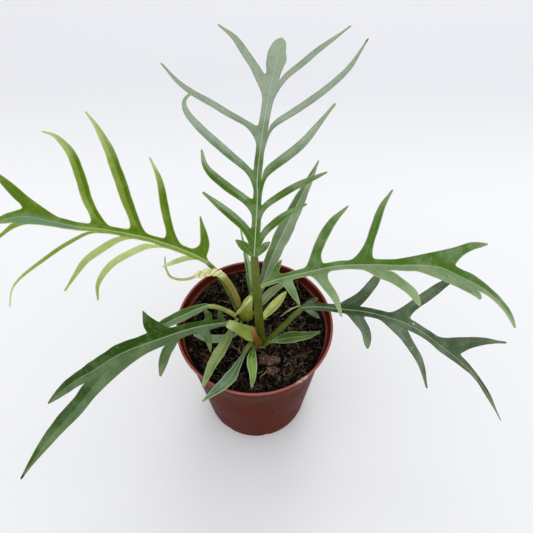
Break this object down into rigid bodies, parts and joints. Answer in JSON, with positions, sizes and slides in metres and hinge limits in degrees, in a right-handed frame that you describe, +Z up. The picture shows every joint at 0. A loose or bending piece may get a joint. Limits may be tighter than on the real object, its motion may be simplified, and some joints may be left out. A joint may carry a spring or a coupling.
{
  "type": "potted philodendron tortum",
  "caption": "Young house plant with deeply lobed, feather-like leaves on arching stalks, growing from dark soil in a tapered round plastic nursery pot",
  "frame": {"origin": "centre of the pot's flat underside", "axes": "+Z up out of the pot, -Y towards the front of the plant, +X to its right; the widest spread of the leaves runs along X"},
  "size_m": [0.4061, 0.2562, 0.2894],
  "materials": {
    "pot": "thin red-brown nursery pot plastic, slightly shiny and lightly scratched",
    "soil": "moist dark peat with brown fibres",
    "bark": "rough weathered bark",
    "stem_front": "olive green stem",
    "stem_back": "yellow-green sheath",
    "sheath": "pale green folded sheath",
    "strip_dry": "dry orange-brown sheath edge",
    "leaf_upright": "satin leaf, dark green with a grey sheen",
    "leaf_left_high": "satin young leaf, bright yellow-green",
    "leaf_left_low": "satin leaf, dark green",
    "leaf_left_mid": "satin leaf, mid green with a pale stalk",
    "leaf_right_high": "satin leaf, mid green",
    "leaf_right_low": "satin leaf, bluish green with chalky specks",
    "leaf_back_right": "satin leaf, grey-green",
    "leaf_back_left": "satin leaf, mid green",
    "leaf_new": "rolled new leaf, yellow-green",
    "bud": "crumpled yellow bud",
    "spear": "pale rolled spear leaf",
    "twig": "dry straw-coloured strand",
    "small_front": "satin small leaf, green with pale margins",
    "small_front_left": "satin small leaf, grey-green",
    "small_left_long": "satin small leaf, light green",
    "small_left_under": "satin small leaf, dark green with a pale tip",
    "small_right": "satin small leaf, fresh green with pale margins",
    "small_right_grey": "satin small leaf, grey-green",
    "small_right_yellow": "satin small leaf, yellow-green"
  },
  "bodies": {
    "root": {"pot": "pot", "soil": "soil", "bark_front": "bark", "bark_small": "bark", "stem_front": "stem_front", "stem_back": "stem_back", "sheath": "sheath", "strip_dry": "strip_dry", "leaf_upright": "leaf_upright", "leaf_left_high": "leaf_left_high", "leaf_left_low": "leaf_left_low", "leaf_left_mid": "leaf_left_mid", "leaf_right_high": "leaf_right_high", "leaf_right_low": "leaf_right_low", "leaf_back_right": "leaf_back_right", "leaf_back_left": "leaf_back_left", "leaf_new": "leaf_new", "bud": "bud", "spear": "spear", "twig": "twig", "small_front": "small_front", "small_front_left": "small_front_left", "small_left_long": "small_left_long", "small_left_under": "small_left_under", "small_right": "small_right", "small_right_grey": "small_right_grey", "small_right_yellow": "small_right_yellow"}
  },
  "joints": []
}
